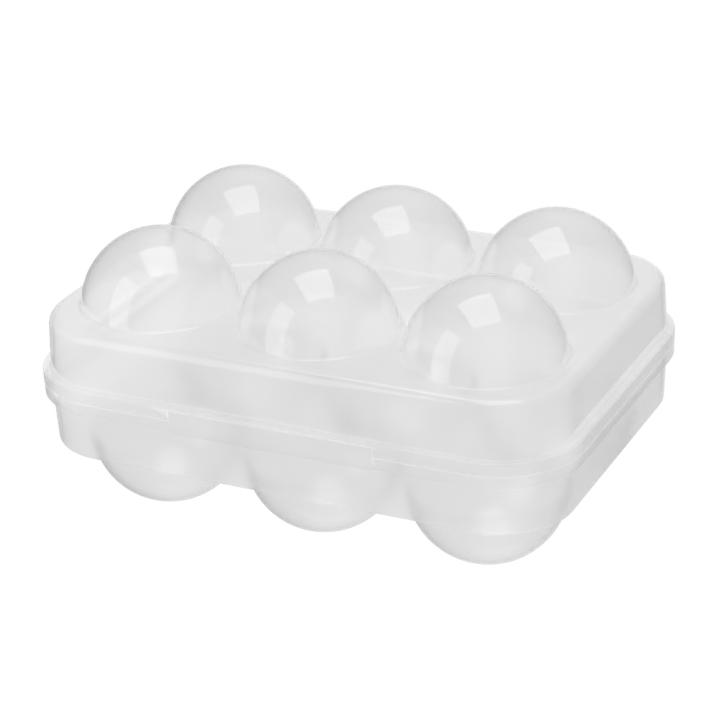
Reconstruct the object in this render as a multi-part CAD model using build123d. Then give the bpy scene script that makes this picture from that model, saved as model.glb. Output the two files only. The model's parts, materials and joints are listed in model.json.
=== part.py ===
"""Six-egg carton: two thin moulded shells, joined along the back by a living hinge.

Each shell is one moulding of side wall, flat deck, stepped rim and six round egg cups.
The shells are written as their plain regions, which meet face to face without overlap.
Millimetres, +Z up, +Y to the hinge, origin on the table under the middle of the closed box.
"""

import os
from math import radians, sqrt, tan

from build123d import *

# Egg cups
pitch_x = 46.0
pitch_y = 47.0
columns = 3
rows = 2
cup_radius = 21.0
cup_centre_offset = 17.2        # sphere centre above or below the middle plane
cup_root_radius = 1.0
cup_flange_radius = 22.3
foot_radius = 3.0               # small flat under each lower cup, which the carton stands on

# Shells
shell_thickness = 1.0
half_length = 72.8              # outside of the side walls where they meet the rim
half_width = 51.1
corner_radius = 19.5
lid_deck_height = 18.7          # outside of the lid's flat deck above the middle plane
lid_draft = 2.9                 # degrees
lid_edge_radius = 2.8
base_deck_depth = 17.0          # outside of the base's flat deck below the middle plane
base_draft = 2.4                # degrees
base_edge_radius = 1.2
deck_seam_inset = 0.1

# Rim, heights measured from the middle plane
parting_height = 0.4
parting_gap = 0.2
lid_ledge_height = 3.9
base_ledge_depth = 3.2
lid_rim_overhang = 2.1
base_rim_overhang = 2.0

# Locating lip, which stands up inside the lid's rim
locating_lip_thickness = 0.9
locating_lip_clearance = 0.2
locating_lip_rise = 2.0

# Finger tab on the front of the lid
tab_width = 57.0
tab_thickness = 0.6
tab_drop = 3.4
tab_corner_radius = 2.0

# Living hinge along the back
hinge_length = 100.0
hinge_reach = 1.0               # from the lid's rim to the hinge line
hinge_leaf_thickness = 0.6
hinge_film_gap = 0.15           # each side of the parting plane
hinge_line_gap = 0.05

# Derived heights above the table
foot_sphere_drop = sqrt(cup_radius**2 - foot_radius**2)
middle_z = cup_centre_offset + foot_sphere_drop
parting_z = middle_z + parting_height
lid_ledge_z = middle_z + lid_ledge_height
base_ledge_z = middle_z - base_ledge_depth
lid_deck_z = middle_z + lid_deck_height
base_deck_z = middle_z - base_deck_depth
hinge_y = half_width + lid_rim_overhang + hinge_reach


def outline(offset):
    """Rounded rectangle of the side wall at the rim, moved outwards by offset."""
    return RectangleRounded(2 * (half_length + offset), 2 * (half_width + offset), corner_radius + offset)


def prism(offset, low_z, high_z):
    """Straight block of that outline between two heights."""
    return Pos(0, 0, low_z) * extrude(outline(offset), high_z - low_z)


def ring(inner_offset, outer_offset, low_z, high_z):
    """Straight band between two outlines."""
    return prism(outer_offset, low_z, high_z) - prism(inner_offset, low_z, high_z)


def tub(offset, height, draft, edge_radius):
    """Drafted block on the rim plane with its far edge rounded, built upwards from z = 0."""
    block = extrude(outline(offset), height, taper=draft)
    return fillet(block.edges().group_by(Axis.Z)[-1], edge_radius)


def drafted_wall(height, draft, edge_radius):
    """Side wall and rounded edge of a shell, open where the deck's flat plate goes."""
    outside = tub(0, height, draft, edge_radius)
    inside = tub(-shell_thickness, height - shell_thickness, draft, edge_radius - shell_thickness)
    deck_space = prism(deck_offset(height, draft, edge_radius), 0, height)
    return outside - inside - deck_space


def deck_offset(height, draft, edge_radius):
    """Offset of the flat deck's outline, just inside the rounded edge."""
    return -height * tan(radians(draft)) - edge_radius - deck_seam_inset


def deck_plate(height, draft, edge_radius):
    """Flat plate with one round hole for each egg cup."""
    plate = prism(deck_offset(height, draft, edge_radius), height - shell_thickness, height)
    for x, y in cup_places():
        plate -= Pos(x, y, height - shell_thickness) * extrude(Circle(cup_flange_radius), shell_thickness)
    return plate


def cup_places():
    """Centres of the egg cups, from front left to back right."""
    xs = [(column - (columns - 1) / 2) * pitch_x for column in range(columns)]
    ys = [(row - (rows - 1) / 2) * pitch_y for row in range(rows)]
    return [(x, y) for y in ys for x in xs]


def cup(deck_level, flat_radius):
    """Round cup opening downwards, with its sphere's centre at z = 0 and its deck at deck_level."""
    inner_radius = cup_radius - shell_thickness
    root_z = deck_level + cup_root_radius
    reach = cup_radius + cup_root_radius
    root_r = sqrt(reach**2 - root_z**2)
    outer_tangent = (root_r * cup_radius / reach, root_z * cup_radius / reach)
    inner_tangent = (root_r * inner_radius / reach, root_z * inner_radius / reach)
    tip_z = sqrt(cup_radius**2 - flat_radius**2)
    root_chord = sqrt(0.5)
    outer_root_middle = arc_middle(root_r, root_z, cup_root_radius, outer_tangent)
    inner_root_middle = arc_middle(root_r, root_z, cup_root_radius + shell_thickness, inner_tangent)
    inner_deck = deck_level - shell_thickness
    profile = [
        ThreePointArc((flat_radius, tip_z), (cup_radius * root_chord, cup_radius * root_chord), outer_tangent),
        ThreePointArc(outer_tangent, outer_root_middle, (root_r, deck_level)),
        Polyline((root_r, deck_level), (cup_flange_radius, deck_level), (cup_flange_radius, inner_deck),
                 (root_r, inner_deck)),
        ThreePointArc((root_r, inner_deck), inner_root_middle, inner_tangent),
        ThreePointArc(inner_tangent, (inner_radius * root_chord, inner_radius * root_chord), (0, inner_radius)),
        Line((0, inner_radius), (0, tip_z)),
    ]
    if flat_radius > 0:
        profile.append(Line((0, tip_z), (flat_radius, tip_z)))
    section = make_face(Wire(Curve() + profile))
    return revolve(Plane.XZ * section, Axis.Z)


def arc_middle(centre_r, centre_z, radius, tangent):
    """Middle of the root arc between a tangent point on the sphere and the deck below the arc's centre."""
    to_sphere = Vector(tangent[0] - centre_r, tangent[1] - centre_z).normalized()
    to_deck = Vector(0, -1)
    middle = (to_sphere + to_deck).normalized() * radius
    return (centre_r + middle.X, centre_z + middle.Y)


def turned_over(shape):
    """The same shape upside down: built upwards, used downwards."""
    return Rot(180, 0, 0) * shape


def lid_parts():
    """Regions of the lid shell."""
    height = lid_deck_height - lid_ledge_height
    shape = (height, lid_draft, lid_edge_radius)
    parts = {
        "lid_wall": Pos(0, 0, lid_ledge_z) * drafted_wall(*shape),
        "lid_deck": Pos(0, 0, lid_ledge_z) * deck_plate(*shape),
        "lid_rim": lid_rim(),
        "lid_finger_tab": finger_tab(),
        "lid_hinge_leaf": hinge_leaf(lid_rim_overhang, parting_z + hinge_film_gap),
    }
    dome = cup(lid_deck_height - cup_centre_offset, 0)
    for number, (x, y) in enumerate(cup_places(), start=1):
        parts[f"lid_dome_{number}"] = Pos(x, y, middle_z + cup_centre_offset) * dome
    return parts


def base_parts():
    """Regions of the base shell."""
    height = base_deck_depth - base_ledge_depth
    shape = (height, base_draft, base_edge_radius)
    parts = {
        "base_wall": Pos(0, 0, base_ledge_z) * turned_over(drafted_wall(*shape)),
        "base_deck": Pos(0, 0, base_ledge_z) * turned_over(deck_plate(*shape)),
        "base_rim": base_rim(),
        "base_locating_lip": locating_lip(),
        "base_hinge_leaf": hinge_leaf(base_rim_overhang, parting_z - hinge_film_gap - hinge_leaf_thickness),
    }
    bowl = turned_over(cup(base_deck_depth - cup_centre_offset, foot_radius))
    for number, (x, y) in enumerate(cup_places(), start=1):
        parts[f"base_cup_{number}"] = Pos(x, y, middle_z - cup_centre_offset) * bowl
    return parts


def lid_rim():
    """Ledge that steps outwards from the lid's wall, and the lip that turns down from it."""
    ledge = ring(-shell_thickness, lid_rim_overhang, lid_ledge_z - shell_thickness, lid_ledge_z)
    lip = ring(lid_rim_overhang - shell_thickness, lid_rim_overhang, parting_z + parting_gap / 2, lid_ledge_z)
    return ledge + lip


def base_rim():
    """Ledge that steps outwards from the base's wall, and the lip that turns up from it."""
    ledge = ring(-shell_thickness, base_rim_overhang, base_ledge_z, base_ledge_z + shell_thickness)
    lip = ring(base_rim_overhang - shell_thickness, base_rim_overhang, base_ledge_z, parting_z - parting_gap / 2)
    return ledge + lip


def locating_lip():
    """Thin upstand on the inside of the base's rim, which nests inside the lid's rim."""
    outer = lid_rim_overhang - shell_thickness - locating_lip_clearance
    inner = outer - locating_lip_thickness
    upper = ring(inner, outer, parting_z - parting_gap / 2, parting_z + locating_lip_rise)
    root = ring(inner, base_rim_overhang - shell_thickness, base_ledge_z + shell_thickness, parting_z - parting_gap / 2)
    return upper + root


def finger_tab():
    """Flat tab on the front of the lid's rim, hanging over the base's rim."""
    low_z = parting_z - tab_drop
    height = lid_ledge_z - low_z
    front_y = -(half_width + lid_rim_overhang + tab_thickness)
    plate = Pos(0, front_y + tab_thickness / 2, low_z + height / 2) * Box(tab_width, tab_thickness, height)
    lower_corners = plate.edges().filter_by(Axis.Y).group_by(Axis.Z)[0]
    return fillet(lower_corners, tab_corner_radius)


def hinge_leaf(rim_overhang, low_z):
    """One leaf of the living hinge, from the rim's back face to just short of the hinge line."""
    start_y = half_width + rim_overhang
    depth = hinge_y - hinge_line_gap - start_y
    return Pos(0, start_y + depth / 2, low_z + hinge_leaf_thickness / 2) * Box(
        hinge_length, depth, hinge_leaf_thickness
    )


os.makedirs("parts", exist_ok=True)
for name, shape in {**base_parts(), **lid_parts()}.items():
    export_step(shape, f"parts/{name}.step")
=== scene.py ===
"""Looks of the egg carton: two thin shells of clear, hazy polypropylene and the living hinge between them."""

import json
from math import acos, atan2, cos, pi, radians, sin, sqrt, tan

import bmesh
import bpy
from mathutils import Matrix, Vector


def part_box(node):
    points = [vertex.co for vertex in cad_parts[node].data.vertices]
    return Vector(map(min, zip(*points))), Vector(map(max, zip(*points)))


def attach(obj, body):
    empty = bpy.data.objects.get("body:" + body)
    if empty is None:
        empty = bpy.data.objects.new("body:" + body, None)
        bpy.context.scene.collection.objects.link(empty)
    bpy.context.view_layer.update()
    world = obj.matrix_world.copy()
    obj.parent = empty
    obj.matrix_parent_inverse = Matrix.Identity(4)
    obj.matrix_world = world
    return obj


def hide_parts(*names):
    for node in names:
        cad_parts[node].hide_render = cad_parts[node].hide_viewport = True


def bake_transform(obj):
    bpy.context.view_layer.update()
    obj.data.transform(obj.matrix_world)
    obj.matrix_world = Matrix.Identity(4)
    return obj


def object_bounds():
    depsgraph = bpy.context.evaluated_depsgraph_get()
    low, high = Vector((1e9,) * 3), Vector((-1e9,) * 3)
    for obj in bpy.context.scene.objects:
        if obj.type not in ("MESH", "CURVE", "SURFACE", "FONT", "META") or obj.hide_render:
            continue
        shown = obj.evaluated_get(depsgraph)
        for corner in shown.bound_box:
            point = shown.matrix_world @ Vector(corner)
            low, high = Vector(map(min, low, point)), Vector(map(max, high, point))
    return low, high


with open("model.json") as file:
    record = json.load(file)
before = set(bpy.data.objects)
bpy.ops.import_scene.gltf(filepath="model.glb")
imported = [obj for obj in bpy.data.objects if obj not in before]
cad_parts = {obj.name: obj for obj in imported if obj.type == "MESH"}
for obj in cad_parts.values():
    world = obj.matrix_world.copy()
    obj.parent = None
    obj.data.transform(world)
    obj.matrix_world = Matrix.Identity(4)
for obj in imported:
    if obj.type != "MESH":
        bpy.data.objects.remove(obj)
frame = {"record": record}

cad_low, cad_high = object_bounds()

MM = 0.001

# ---------------------------------------------------------------- sizes in metres, from the frame or named

SHELL = 1.0 * MM                   # wall thickness of both shells
CORNER_RADIUS = 19.5 * MM          # of the side wall, seen from above
LID_EDGE_RADIUS = 2.8 * MM
BASE_EDGE_RADIUS = 1.2 * MM
CUP_RADIUS = 21.0 * MM
CUP_ROOT_RADIUS = 1.0 * MM
FOOT_RADIUS = 3.0 * MM
DECK_SEAM = 0.1 * MM               # from the end of a wall's rounded edge to the deck's plate
LIP_CLEARANCE = 0.2 * MM           # between the locating lip and the lid's rim
LIP_THICKNESS = 0.9 * MM
RIM_OVER_MIDDLE = 0.5 * MM         # lower edge of the lid's rim above the middle plane of the cups
SUPPORT = 0.25 * MM                # flat strip that keeps a deck's shading clean next to its curved edges
LEDGE_FILLET = 0.4 * MM            # where a wall meets its rim's ledge
RIM_ROUND = 0.45 * MM              # along the outer edge of each rim
LIP_ROUND = 0.3 * MM               # along the free edges of the rims and of the locating lip

lid_wall_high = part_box("lid_wall")[1]
lid_rim_low, lid_rim_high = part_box("lid_rim")
lid_deck_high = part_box("lid_deck")[1]
base_wall_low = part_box("base_wall")[0]
base_rim_low, base_rim_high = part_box("base_rim")
base_deck_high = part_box("base_deck")[1]
lip_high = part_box("base_locating_lip")[1]
tab_low, tab_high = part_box("lid_finger_tab")
base_leaf_low, base_leaf_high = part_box("base_hinge_leaf")
lid_leaf_low, lid_leaf_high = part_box("lid_hinge_leaf")

HALF_LENGTH = lid_wall_high.x      # outside of the side walls where they meet the rim
HALF_WIDTH = lid_wall_high.y
LID_OVERHANG = lid_rim_high.x - HALF_LENGTH
BASE_OVERHANG = base_rim_high.x - HALF_LENGTH
LIP_OUTER = LID_OVERHANG - SHELL - LIP_CLEARANCE
LIP_INNER = LIP_OUTER - LIP_THICKNESS
LID_DECK_OFFSET = lid_deck_high.x - HALF_LENGTH
BASE_DECK_OFFSET = base_deck_high.x - HALF_LENGTH
LID_WALL_TOP = LID_DECK_OFFSET + LID_EDGE_RADIUS + DECK_SEAM
BASE_WALL_END = BASE_DECK_OFFSET + BASE_EDGE_RADIUS + DECK_SEAM
MIDDLE_Z = lid_rim_low.z - RIM_OVER_MIDDLE

CORNER_STEPS = 14                  # divisions of each corner of the outline
STRAIGHT_STEPS = 12                # divisions of each straight side
ARC_STEPS = 5                      # divisions of each rounded corner of a section
CUP_SEGMENTS = 96
CUP_RINGS = 26
CUPS = 6

# ---------------------------------------------------------------- mesh building


def outline(offset):
    """(x, y) points, anticlockwise from above, of the side wall's outline moved outwards by offset."""
    radius = CORNER_RADIUS + offset
    corners = []
    for quarter, (side_x, side_y) in enumerate(((1, 1), (-1, 1), (-1, -1), (1, -1))):
        centre = Vector((side_x * (HALF_LENGTH - CORNER_RADIUS), side_y * (HALF_WIDTH - CORNER_RADIUS)))
        angles = [(quarter + step / CORNER_STEPS) * pi / 2 for step in range(CORNER_STEPS + 1)]
        corners.append([centre + radius * Vector((cos(angle), sin(angle))) for angle in angles])
    points = []
    for corner, following in zip(corners, corners[1:] + corners[:1]):
        points += corner
        points += [corner[-1].lerp(following[0], step / STRAIGHT_STEPS) for step in range(1, STRAIGHT_STEPS)]
    return points


def rounded(corners):
    """Path through (offset, height, radius) corners, with an arc of that radius at each."""
    path = [Vector(corners[0][:2])]
    for before, corner, after in zip(corners, corners[1:], corners[2:]):
        here = Vector(corner[:2])
        to_before = (Vector(before[:2]) - here).normalized()
        to_after = (Vector(after[:2]) - here).normalized()
        half_turn = (pi - to_before.angle(to_after)) / 2
        start = here + to_before * corner[2] * tan(half_turn)
        centre = here + (to_before + to_after).normalized() * corner[2] / cos(half_turn)
        side = 1 if to_before.cross(to_after) < 0 else -1
        for step in range(ARC_STEPS + 1):
            turn = Matrix.Rotation(side * 2 * half_turn * step / ARC_STEPS, 2)
            path.append(centre + turn @ (start - centre))
    path.append(Vector(corners[-1][:2]))
    return path


def join_rings(bm, rings):
    """Quads between neighbouring closed rings of equal length."""
    for ring, following in zip(rings, rings[1:]):
        for index, vertex in enumerate(ring):
            after = (index + 1) % len(ring)
            bm.faces.new((vertex, ring[after], following[after], following[index]))


def add_band(bm, corners):
    """Sweeps a rounded section round the outline. Returns the rings at the section's two ends."""
    rings = []
    for offset, height in rounded(corners):
        rings.append([bm.verts.new((x, y, height)) for x, y in outline(offset)])
    join_rings(bm, rings)
    return rings[0], rings[-1]


def cup_section(deck_level, radius, root_radius, flat_radius):
    """(distance from axis, height over sphere's centre) points from the deck over the root to the cup's tip.

    deck_level is the deck's height over the sphere's centre. The root's arc is centred outside the sphere.
    """
    root_z = deck_level + root_radius
    root_r = sqrt((radius + root_radius) ** 2 - root_z ** 2)
    root_centre = Vector((root_r, root_z))
    root_turn = pi / 2 - atan2(root_z, root_r)
    section = [Vector((root_r + SUPPORT, deck_level)), Vector((root_r, deck_level))]
    for step in range(1, ARC_STEPS + 1):
        angle = -pi / 2 - root_turn * step / ARC_STEPS
        section.append(root_centre + root_radius * Vector((cos(angle), sin(angle))))
    start = pi / 2 - root_turn
    end = acos(flat_radius / radius)
    for step in range(1, CUP_RINGS + 1):
        angle = start + (end - start) * step / CUP_RINGS
        section.append(radius * Vector((cos(angle), sin(angle))))
    if flat_radius == 0:
        section.pop()
    return section


def add_cup(bm, centre, direction, section, tip_height):
    """Turns a cup's section about the vertical through centre. Returns its ring on the deck."""
    rings = []
    for distance, height in section:
        ring = []
        for segment in range(CUP_SEGMENTS):
            angle = 2 * pi * segment / CUP_SEGMENTS
            spot = Vector((distance * cos(angle), distance * sin(angle), height * direction))
            ring.append(bm.verts.new(centre + spot))
        rings.append(ring)
    join_rings(bm, rings)
    tip = bm.verts.new(centre + Vector((0, 0, tip_height * direction)))
    for index, vertex in enumerate(rings[-1]):
        bm.faces.new((vertex, rings[-1][(index + 1) % CUP_SEGMENTS], tip))
    return rings[0]


def ring_edges(bm, ring):
    """Edges of a closed ring of vertices."""
    return [bm.edges.get((vertex, ring[(index + 1) % len(ring)])) for index, vertex in enumerate(ring)]


def fill_deck(bm, border, holes):
    """Flat faces between the deck's border and the rings of its cups."""
    edges = ring_edges(bm, border)
    for hole in holes:
        edges += ring_edges(bm, hole)
    bmesh.ops.triangle_fill(bm, use_beauty=True, edges=edges)


def finished_object(name, bm):
    """Closed smooth-shaded object from a bmesh, with its faces turned outwards."""
    bmesh.ops.recalc_face_normals(bm, faces=bm.faces)
    mesh = bpy.data.meshes.new(name)
    bm.to_mesh(mesh)
    bm.free()
    mesh.shade_smooth()
    obj = bpy.data.objects.new(name, mesh)
    bpy.context.scene.collection.objects.link(obj)
    return obj


def cup_centres(prefix, direction):
    """Centres of the spheres of a shell, from its cup nodes."""
    centres = []
    for number in range(1, CUPS + 1):
        low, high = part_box(f"{prefix}_{number}")
        if direction > 0:
            centre_z = high.z - CUP_RADIUS
        else:
            centre_z = low.z + sqrt(CUP_RADIUS ** 2 - FOOT_RADIUS ** 2)
        centres.append(Vector(((low.x + high.x) / 2, (low.y + high.y) / 2, centre_z)))
    return centres


def shell(name, band, centres, direction, deck_z, flat_radius):
    """One closed shell: a swept band, two deck surfaces and the outside and inside of its cups."""
    bm = bmesh.new()
    outer_border, inner_border = add_band(bm, band)
    deck_level = (deck_z - centres[0].z) * direction
    surfaces = (
        (outer_border, deck_level, CUP_RADIUS, CUP_ROOT_RADIUS, flat_radius),
        (inner_border, deck_level - SHELL, CUP_RADIUS - SHELL, CUP_ROOT_RADIUS + SHELL, 0),
    )
    for border, level, radius, root_radius, flat in surfaces:
        section = cup_section(level, radius, root_radius, flat)
        tip_height = sqrt(radius ** 2 - flat ** 2)
        holes = [add_cup(bm, centre, direction, section, tip_height) for centre in centres]
        fill_deck(bm, border, holes)
    return finished_object(name, bm)


# ---------------------------------------------------------------- pieces


def lid_band():
    """Section of the lid's side, from the outside of its deck round the rim to the inside of its deck."""
    deck_z = lid_wall_high.z
    ledge_z = lid_rim_high.z
    lip_z = lid_rim_low.z
    inner_fillet = 0.9 * MM
    return [
        (LID_DECK_OFFSET - SUPPORT, deck_z),
        (LID_WALL_TOP, deck_z, LID_EDGE_RADIUS),
        (0, ledge_z, LEDGE_FILLET),
        (LID_OVERHANG, ledge_z, RIM_ROUND),
        (LID_OVERHANG, lip_z, LIP_ROUND),
        (LID_OVERHANG - SHELL, lip_z, LIP_ROUND),
        (LID_OVERHANG - SHELL, ledge_z - SHELL, LEDGE_FILLET),
        (-SHELL, ledge_z - SHELL, inner_fillet),
        (LID_WALL_TOP - SHELL, deck_z - SHELL, LID_EDGE_RADIUS - SHELL),
        (LID_DECK_OFFSET - SUPPORT, deck_z - SHELL),
    ]


def base_band():
    """Section of the base's side, from the outside of its deck round the rim to the inside of its deck."""
    deck_z = base_wall_low.z
    ledge_z = base_rim_low.z
    rim_z = base_rim_high.z
    lip_root_fillet = 0.2 * MM
    inner_fillet = 0.5 * MM
    return [
        (BASE_DECK_OFFSET - SUPPORT, deck_z),
        (BASE_WALL_END, deck_z, BASE_EDGE_RADIUS),
        (0, ledge_z, LEDGE_FILLET),
        (BASE_OVERHANG, ledge_z, RIM_ROUND),
        (BASE_OVERHANG, rim_z, LIP_ROUND),
        (LIP_OUTER, rim_z, lip_root_fillet),
        (LIP_OUTER, lip_high.z, LIP_ROUND),
        (LIP_INNER, lip_high.z, LIP_ROUND),
        (LIP_INNER, ledge_z + SHELL, LIP_ROUND),
        (-SHELL, ledge_z + SHELL, inner_fillet),
        (BASE_WALL_END - SHELL, deck_z + SHELL, BASE_EDGE_RADIUS - SHELL),
        (BASE_DECK_OFFSET - SUPPORT, deck_z + SHELL),
    ]


def make_lid():
    """The lid's shell, with its finger tab in the same moulding."""
    lid = shell("lid_shell", lid_band(), cup_centres("lid_dome", 1), 1, lid_wall_high.z, 0)
    add_finger_tab(lid)
    return lid


def add_finger_tab(lid):
    """Joins a flat tab with eased edges to the front of the lid's rim."""
    tab = make_finger_tab()
    union = lid.modifiers.new("finger_tab", "BOOLEAN")
    union.operation = "UNION"
    union.solver = "EXACT"
    union.object = tab
    joined = bpy.data.meshes.new_from_object(lid.evaluated_get(bpy.context.evaluated_depsgraph_get()))
    lid.modifiers.remove(union)
    lid.data = joined
    bpy.data.objects.remove(tab)


def make_finger_tab():
    """Flat tab that starts just under the rim's rounded top edge and overlaps the rim's face by a hair."""
    overlap = 0.05 * MM
    under_rim_top = 0.5 * MM
    corner_radius = 2.0 * MM
    front_ease = 0.3 * MM
    low = tab_low.copy()
    high = tab_high + Vector((0, overlap, -under_rim_top))
    size = high - low
    middle = (low + high) / 2
    bm = bmesh.new()
    bmesh.ops.create_cube(bm, size=1.0)
    for vertex in bm.verts:
        vertex.co = middle + Vector([a * b for a, b in zip(vertex.co, size)])
    through = [e for e in bm.edges if abs(e.verts[0].co.y - e.verts[1].co.y) > size.y / 2]
    lower = [e for e in through if e.verts[0].co.z < middle.z]
    bmesh.ops.bevel(bm, geom=lower, offset=corner_radius, segments=8, profile=0.5, affect="EDGES")
    front = [e for e in bm.edges if all(v.co.y < middle.y for v in e.verts)]
    bmesh.ops.bevel(bm, geom=front, offset=front_ease, segments=4, profile=0.5, affect="EDGES")
    return finished_object("finger_tab", bm)


def make_base():
    """The base's shell."""
    return shell("base_shell", base_band(), cup_centres("base_cup", -1), -1, base_wall_low.z, FOOT_RADIUS)


def bar(name, section, low_x, high_x):
    """Bar along X with a closed (y, z) section."""
    bm = bmesh.new()
    rings = [[bm.verts.new((x, y, z)) for y, z in section] for x in (low_x, high_x)]
    join_rings(bm, rings)
    for ring in rings:
        bm.faces.new(ring)
    return finished_object(name, bm)


def make_hinge():
    """Living hinge: a leaf on each rim and the straight thin film between them."""
    root = 0.1 * MM                # how far each leaf reaches into its rim
    film = 0.25 * MM
    ease = 0.3 * MM
    folds = 10
    outer_y = lid_leaf_high.y
    lid_root = lid_leaf_low.y - root
    base_root = base_leaf_low.y - root
    top, slot_top = lid_leaf_high.z, lid_leaf_low.z
    bottom, slot_bottom = base_leaf_low.z, base_leaf_high.z
    film_heights = [slot_top + (slot_bottom - slot_top) * step / folds for step in range(folds + 1)]
    section = [(lid_root, top), (outer_y - ease, top), (outer_y, top - ease)]
    section += [(outer_y, z) for z in film_heights]
    section += [(outer_y, bottom + ease), (outer_y - ease, bottom)]
    section += [(base_root, bottom), (base_root, slot_bottom)]
    section += [(outer_y - film, z) for z in reversed(film_heights)]
    section += [(lid_root, slot_top)]
    return bar("living_hinge", section, lid_leaf_low.x, lid_leaf_high.x)


# ---------------------------------------------------------------- materials

BODY_IOR = 1.03                    # low, so that the edges of the cups stay nearly as pale as their middles
SKIN_IOR = 1.5                     # of the glossy skin
SKIN_ROUGHNESS = 0.03
CUP_HAZE = (0.30, 0.36)            # least and greatest roughness of the body on the cups
WALL_HAZE = 0.52                   # added to it on the walls, rims and decks
HAZE_FADE = (16.5 * MM, 19.5 * MM)  # from the middle plane: where that addition starts and ends its fade
NOISE_RANGE = (0.3, 0.7)           # where nearly all values of a noise texture lie
FAINT_GREY = (0.99, 0.99, 0.99)
WHITE = (1.0, 1.0, 1.0)


def node(tree, kind, **values):
    """A shader node with its inputs and settings filled in."""
    new = tree.nodes.new(kind)
    for name, value in values.items():
        if name in new.inputs:
            new.inputs[name].default_value = value
        else:
            setattr(new, name, value)
    return new


def noise(tree, coordinates, scale, detail):
    """Noise in object space, with its scale in cycles per metre."""
    texture = node(tree, "ShaderNodeTexNoise", Scale=scale, Detail=detail)
    tree.links.new(coordinates.outputs["Object"], texture.inputs["Vector"])
    return texture.outputs["Fac"]


def arithmetic(tree, operation, *operands):
    """Result of a math node. Each operand is a number or another node's output."""
    new = node(tree, "ShaderNodeMath", operation=operation)
    for operand, socket in zip(operands, new.inputs):
        if isinstance(operand, float):
            socket.default_value = operand
        else:
            tree.links.new(operand, socket)
    return new.outputs["Value"]


def map_range(tree, value, source, target):
    """Maps values in the range source to the range target."""
    mapped = node(tree, "ShaderNodeMapRange")
    for name, number in zip(("From Min", "From Max", "To Min", "To Max"), (*source, *target)):
        mapped.inputs[name].default_value = number
    tree.links.new(value, mapped.inputs["Value"])
    return mapped.outputs["Result"]


def colour_ramp(tree, factor, shades):
    """Colour that runs through the (position, colour) shades, which are in rising order."""
    ramp = tree.nodes.new("ShaderNodeValToRGB")
    stops = ramp.color_ramp.elements
    while len(stops) < len(shades):
        stops.new(0.5)
    for stop, (position, colour) in zip(stops, shades):
        stop.position = position
        stop.color = (*colour, 1)
    tree.links.new(factor, ramp.inputs["Fac"])
    return ramp.outputs["Color"]


def bump(tree, height, strength, distance):
    """Bump node that reads a height."""
    new = node(tree, "ShaderNodeBump", Strength=strength, Distance=distance)
    tree.links.new(height, new.inputs["Height"])
    return new


def clear_polypropylene():
    """Moulded polypropylene: a hazy body under a glossy skin, with uneven haze, mould waviness and grain."""
    material = bpy.data.materials.new("clear_polypropylene")
    material.use_nodes = True
    tree = material.node_tree
    shader = tree.nodes["Principled BSDF"]
    coordinates = tree.nodes.new("ShaderNodeTexCoord")

    cloud = noise(tree, coordinates, 35, 2)
    tint = colour_ramp(tree, cloud, ((0.35, FAINT_GREY), (0.65, WHITE)))
    tree.links.new(tint, shader.inputs["Base Color"])

    patches = noise(tree, coordinates, 120, 3)
    cup_haze = map_range(tree, patches, NOISE_RANGE, CUP_HAZE)
    haze = arithmetic(tree, "ADD", cup_haze, wall_haze(tree, coordinates))
    tree.links.new(haze, shader.inputs["Roughness"])

    waves = bump(tree, noise(tree, coordinates, 60, 1), 0.06, 0.4 * MM)
    grain = bump(tree, noise(tree, coordinates, 2500, 2), 0.02, 0.03 * MM)
    tree.links.new(waves.outputs["Normal"], grain.inputs["Normal"])
    tree.links.new(grain.outputs["Normal"], shader.inputs["Normal"])

    shader.inputs["Transmission Weight"].default_value = 1.0
    shader.inputs["IOR"].default_value = BODY_IOR
    add_outer_skin(tree, shader)
    absorber = node(tree, "ShaderNodeVolumeAbsorption", Color=(0, 0.01, 0.02, 1), Density=4)
    tree.links.new(absorber.outputs["Volume"], tree.nodes["Material Output"].inputs["Volume"])
    return material


def wall_haze(tree, coordinates):
    """Extra haze of the walls, rims and decks, which fades out where the cups leave the decks."""
    axes = tree.nodes.new("ShaderNodeSeparateXYZ")
    tree.links.new(coordinates.outputs["Object"], axes.inputs["Vector"])
    over_middle = arithmetic(tree, "SUBTRACT", axes.outputs["Z"], MIDDLE_Z)
    from_middle = arithmetic(tree, "ABSOLUTE", over_middle)
    return map_range(tree, from_middle, HAZE_FADE, (WALL_HAZE, 0.0))


def add_outer_skin(tree, shader):
    """Glossy skin that mirrors only on the air side of the surface: rays inside the wall don't meet it."""
    geometry = tree.nodes.new("ShaderNodeNewGeometry")
    air_side = arithmetic(tree, "SUBTRACT", 1.0, geometry.outputs["Backfacing"])
    tree.links.new(air_side, shader.inputs["Coat Weight"])
    shader.inputs["Coat Roughness"].default_value = SKIN_ROUGHNESS
    shader.inputs["Coat IOR"].default_value = SKIN_IOR


# ---------------------------------------------------------------- studio

VIEW_AZIMUTH = 26.5                # degrees round from the front
VIEW_ELEVATION = 25.0
VIEW_ROLL = -2.4
CAMERA_DISTANCE = 0.6789
LENS = 128.2                       # millimetres, on a sensor 36 mm wide
SENSOR_WIDTH = 36
AIM_RIGHT = -0.19 * MM             # from the middle of the carton to the middle of the picture
AIM_UP = -1.33 * MM
FLOOR_HALF_WIDTH = 4.0
FLOOR_GAP = 0.05 * MM              # under the feet
SOFTBOX_DISTANCE = 0.6
GREY = (0.762, 0.762, 0.762)       # all round the carton
LEFT_SHADE = (0.0, 0.01, 0.06)     # mirrored at the far left and far right
RIGHT_SHADE = (0.05, 0.05, 0.05)
BOUNCES = 40                       # enough for a ray through all twelve cups' walls


def emitter(name, colour):
    """Plain glowing material for the backdrop."""
    material = bpy.data.materials.new(name)
    material.use_nodes = True
    tree = material.node_tree
    tree.nodes.clear()
    glow = node(tree, "ShaderNodeEmission", Color=(*colour, 1), Strength=1.0)
    output = tree.nodes.new("ShaderNodeOutputMaterial")
    tree.links.new(glow.outputs["Emission"], output.inputs["Surface"])
    return material


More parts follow.
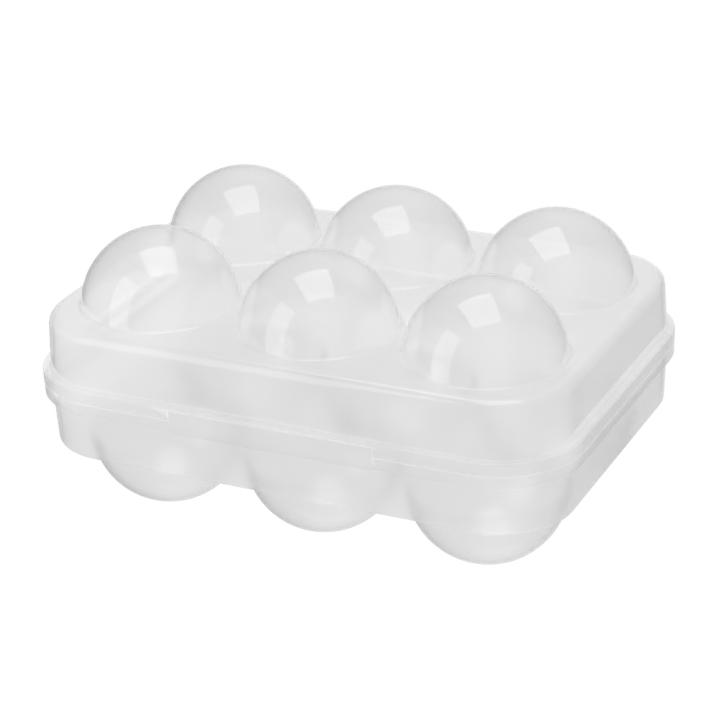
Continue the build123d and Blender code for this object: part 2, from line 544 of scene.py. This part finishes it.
def camera_axes(azimuth, elevation, roll):
    """Right, up and back directions of a camera turned round by azimuth and raised by elevation."""
    a, e, r = radians(azimuth), radians(elevation), radians(roll)
    back = Vector((sin(a) * cos(e), -cos(a) * cos(e), sin(e)))
    right = (-back).cross(Vector((0, 0, 1))).normalized()
    up = right.cross(-back)
    return right * cos(r) + up * sin(r), up * cos(r) - right * sin(r), back


def add_camera(right, up, back, aim):
    """Camera that looks at aim along the opposite of back."""
    data = bpy.data.cameras.new("camera")
    data.lens = LENS
    data.sensor_width = SENSOR_WIDTH
    data.clip_start = 0.01
    camera = bpy.data.objects.new("camera", data)
    rotation = Matrix((right, up, back)).transposed().to_4x4()
    camera.matrix_world = Matrix.Translation(aim + back * CAMERA_DISTANCE) @ rotation
    bpy.context.scene.collection.objects.link(camera)
    bpy.context.scene.camera = camera


def add_softbox(name, aim, direction, width, height, radiance):
    """Rectangular area light that faces aim. Radiance is relative to the white floor."""
    data = bpy.data.lights.new(name, "AREA")
    data.shape = "RECTANGLE"
    data.size = width
    data.size_y = height
    data.energy = radiance * pi * width * height
    light = bpy.data.objects.new(name, data)
    light.location = aim + direction.normalized() * SOFTBOX_DISTANCE
    light.rotation_euler = direction.to_track_quat("Z", "Y").to_euler()
    bpy.context.scene.collection.objects.link(light)


def add_floor(material):
    """Wide floor just under the feet, which only the camera sees. The carton itself sees the world."""
    bm = bmesh.new()
    bmesh.ops.create_grid(bm, x_segments=1, y_segments=1, size=FLOOR_HALF_WIDTH)
    mesh = bpy.data.meshes.new("floor")
    bm.to_mesh(mesh)
    bm.free()
    floor = bpy.data.objects.new("floor", mesh)
    floor.location.z = cad_low.z - FLOOR_GAP
    mesh.materials.append(material)
    for ray in ("diffuse", "glossy", "transmission", "shadow"):
        setattr(floor, f"visible_{ray}", False)
    bpy.context.scene.collection.objects.link(floor)


def set_world(across, shades):
    """Even grey light from all round, of which mirrored rays see a version that falls off to the two sides.

    Shades are (place, colour), with places from -1 to 1 along across.
    """
    world = bpy.data.worlds.new("studio")
    world.use_nodes = True
    tree = world.node_tree
    coordinates = tree.nodes.new("ShaderNodeTexCoord")
    dot = node(tree, "ShaderNodeVectorMath", operation="DOT_PRODUCT")
    dot.inputs[1].default_value = across
    tree.links.new(coordinates.outputs["Generated"], dot.inputs[0])
    place = map_range(tree, dot.outputs["Value"], (-1.0, 1.0), (0.0, 1.0))
    mirrored = colour_ramp(tree, place, [((position + 1) / 2, colour) for position, colour in shades])
    path = tree.nodes.new("ShaderNodeLightPath")
    seen = node(tree, "ShaderNodeMixRGB", Color1=(*GREY, 1))
    tree.links.new(path.outputs["Is Reflection Ray"], seen.inputs["Fac"])
    tree.links.new(mirrored, seen.inputs["Color2"])
    tree.links.new(seen.outputs["Color"], tree.nodes["Background"].inputs["Color"])
    bpy.context.scene.world = world


# ---------------------------------------------------------------- assembly

BODY_NODES = frame["record"]["behaviour"]["bodies"]
LEAVES = ("lid_hinge_leaf", "base_hinge_leaf")

lid = make_lid()
base = make_base()
hinge = make_hinge()
plastic = clear_polypropylene()
for piece in (lid, base, hinge):
    piece.data.materials.append(plastic)
    piece.modifiers.new("normals", "WEIGHTED_NORMAL").weight = 100

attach(lid, "lid")
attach(base, "base")
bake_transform(hinge)

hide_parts(*LEAVES)
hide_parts(*[name for name in BODY_NODES["lid"] if name not in LEAVES])
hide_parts(*[name for name in BODY_NODES["base"] if name not in LEAVES])

right, up, back = camera_axes(VIEW_AZIMUTH, VIEW_ELEVATION, VIEW_ROLL)
middle = Vector((0, 0, MIDDLE_Z))
add_camera(right, up, back, middle + right * AIM_RIGHT + up * AIM_UP)
add_floor(emitter("white_floor", WHITE))
set_world(right, ((-0.6, LEFT_SHADE), (0.0, GREY), (0.3, GREY), (0.75, RIGHT_SHADE)))
add_softbox("top_softbox", middle, -0.07 * right + 0.90 * up + 0.43 * back, 0.52, 0.40, 2.2)
add_softbox("side_softbox", middle, -0.84 * right + 0.04 * up + 0.54 * back, 0.31, 0.66, 1.6)

bpy.context.scene.view_settings.view_transform = "Standard"
for kind in ("max", "transmission", "transparent_max"):
    setattr(bpy.context.scene.cycles, f"{kind}_bounces", BOUNCES)
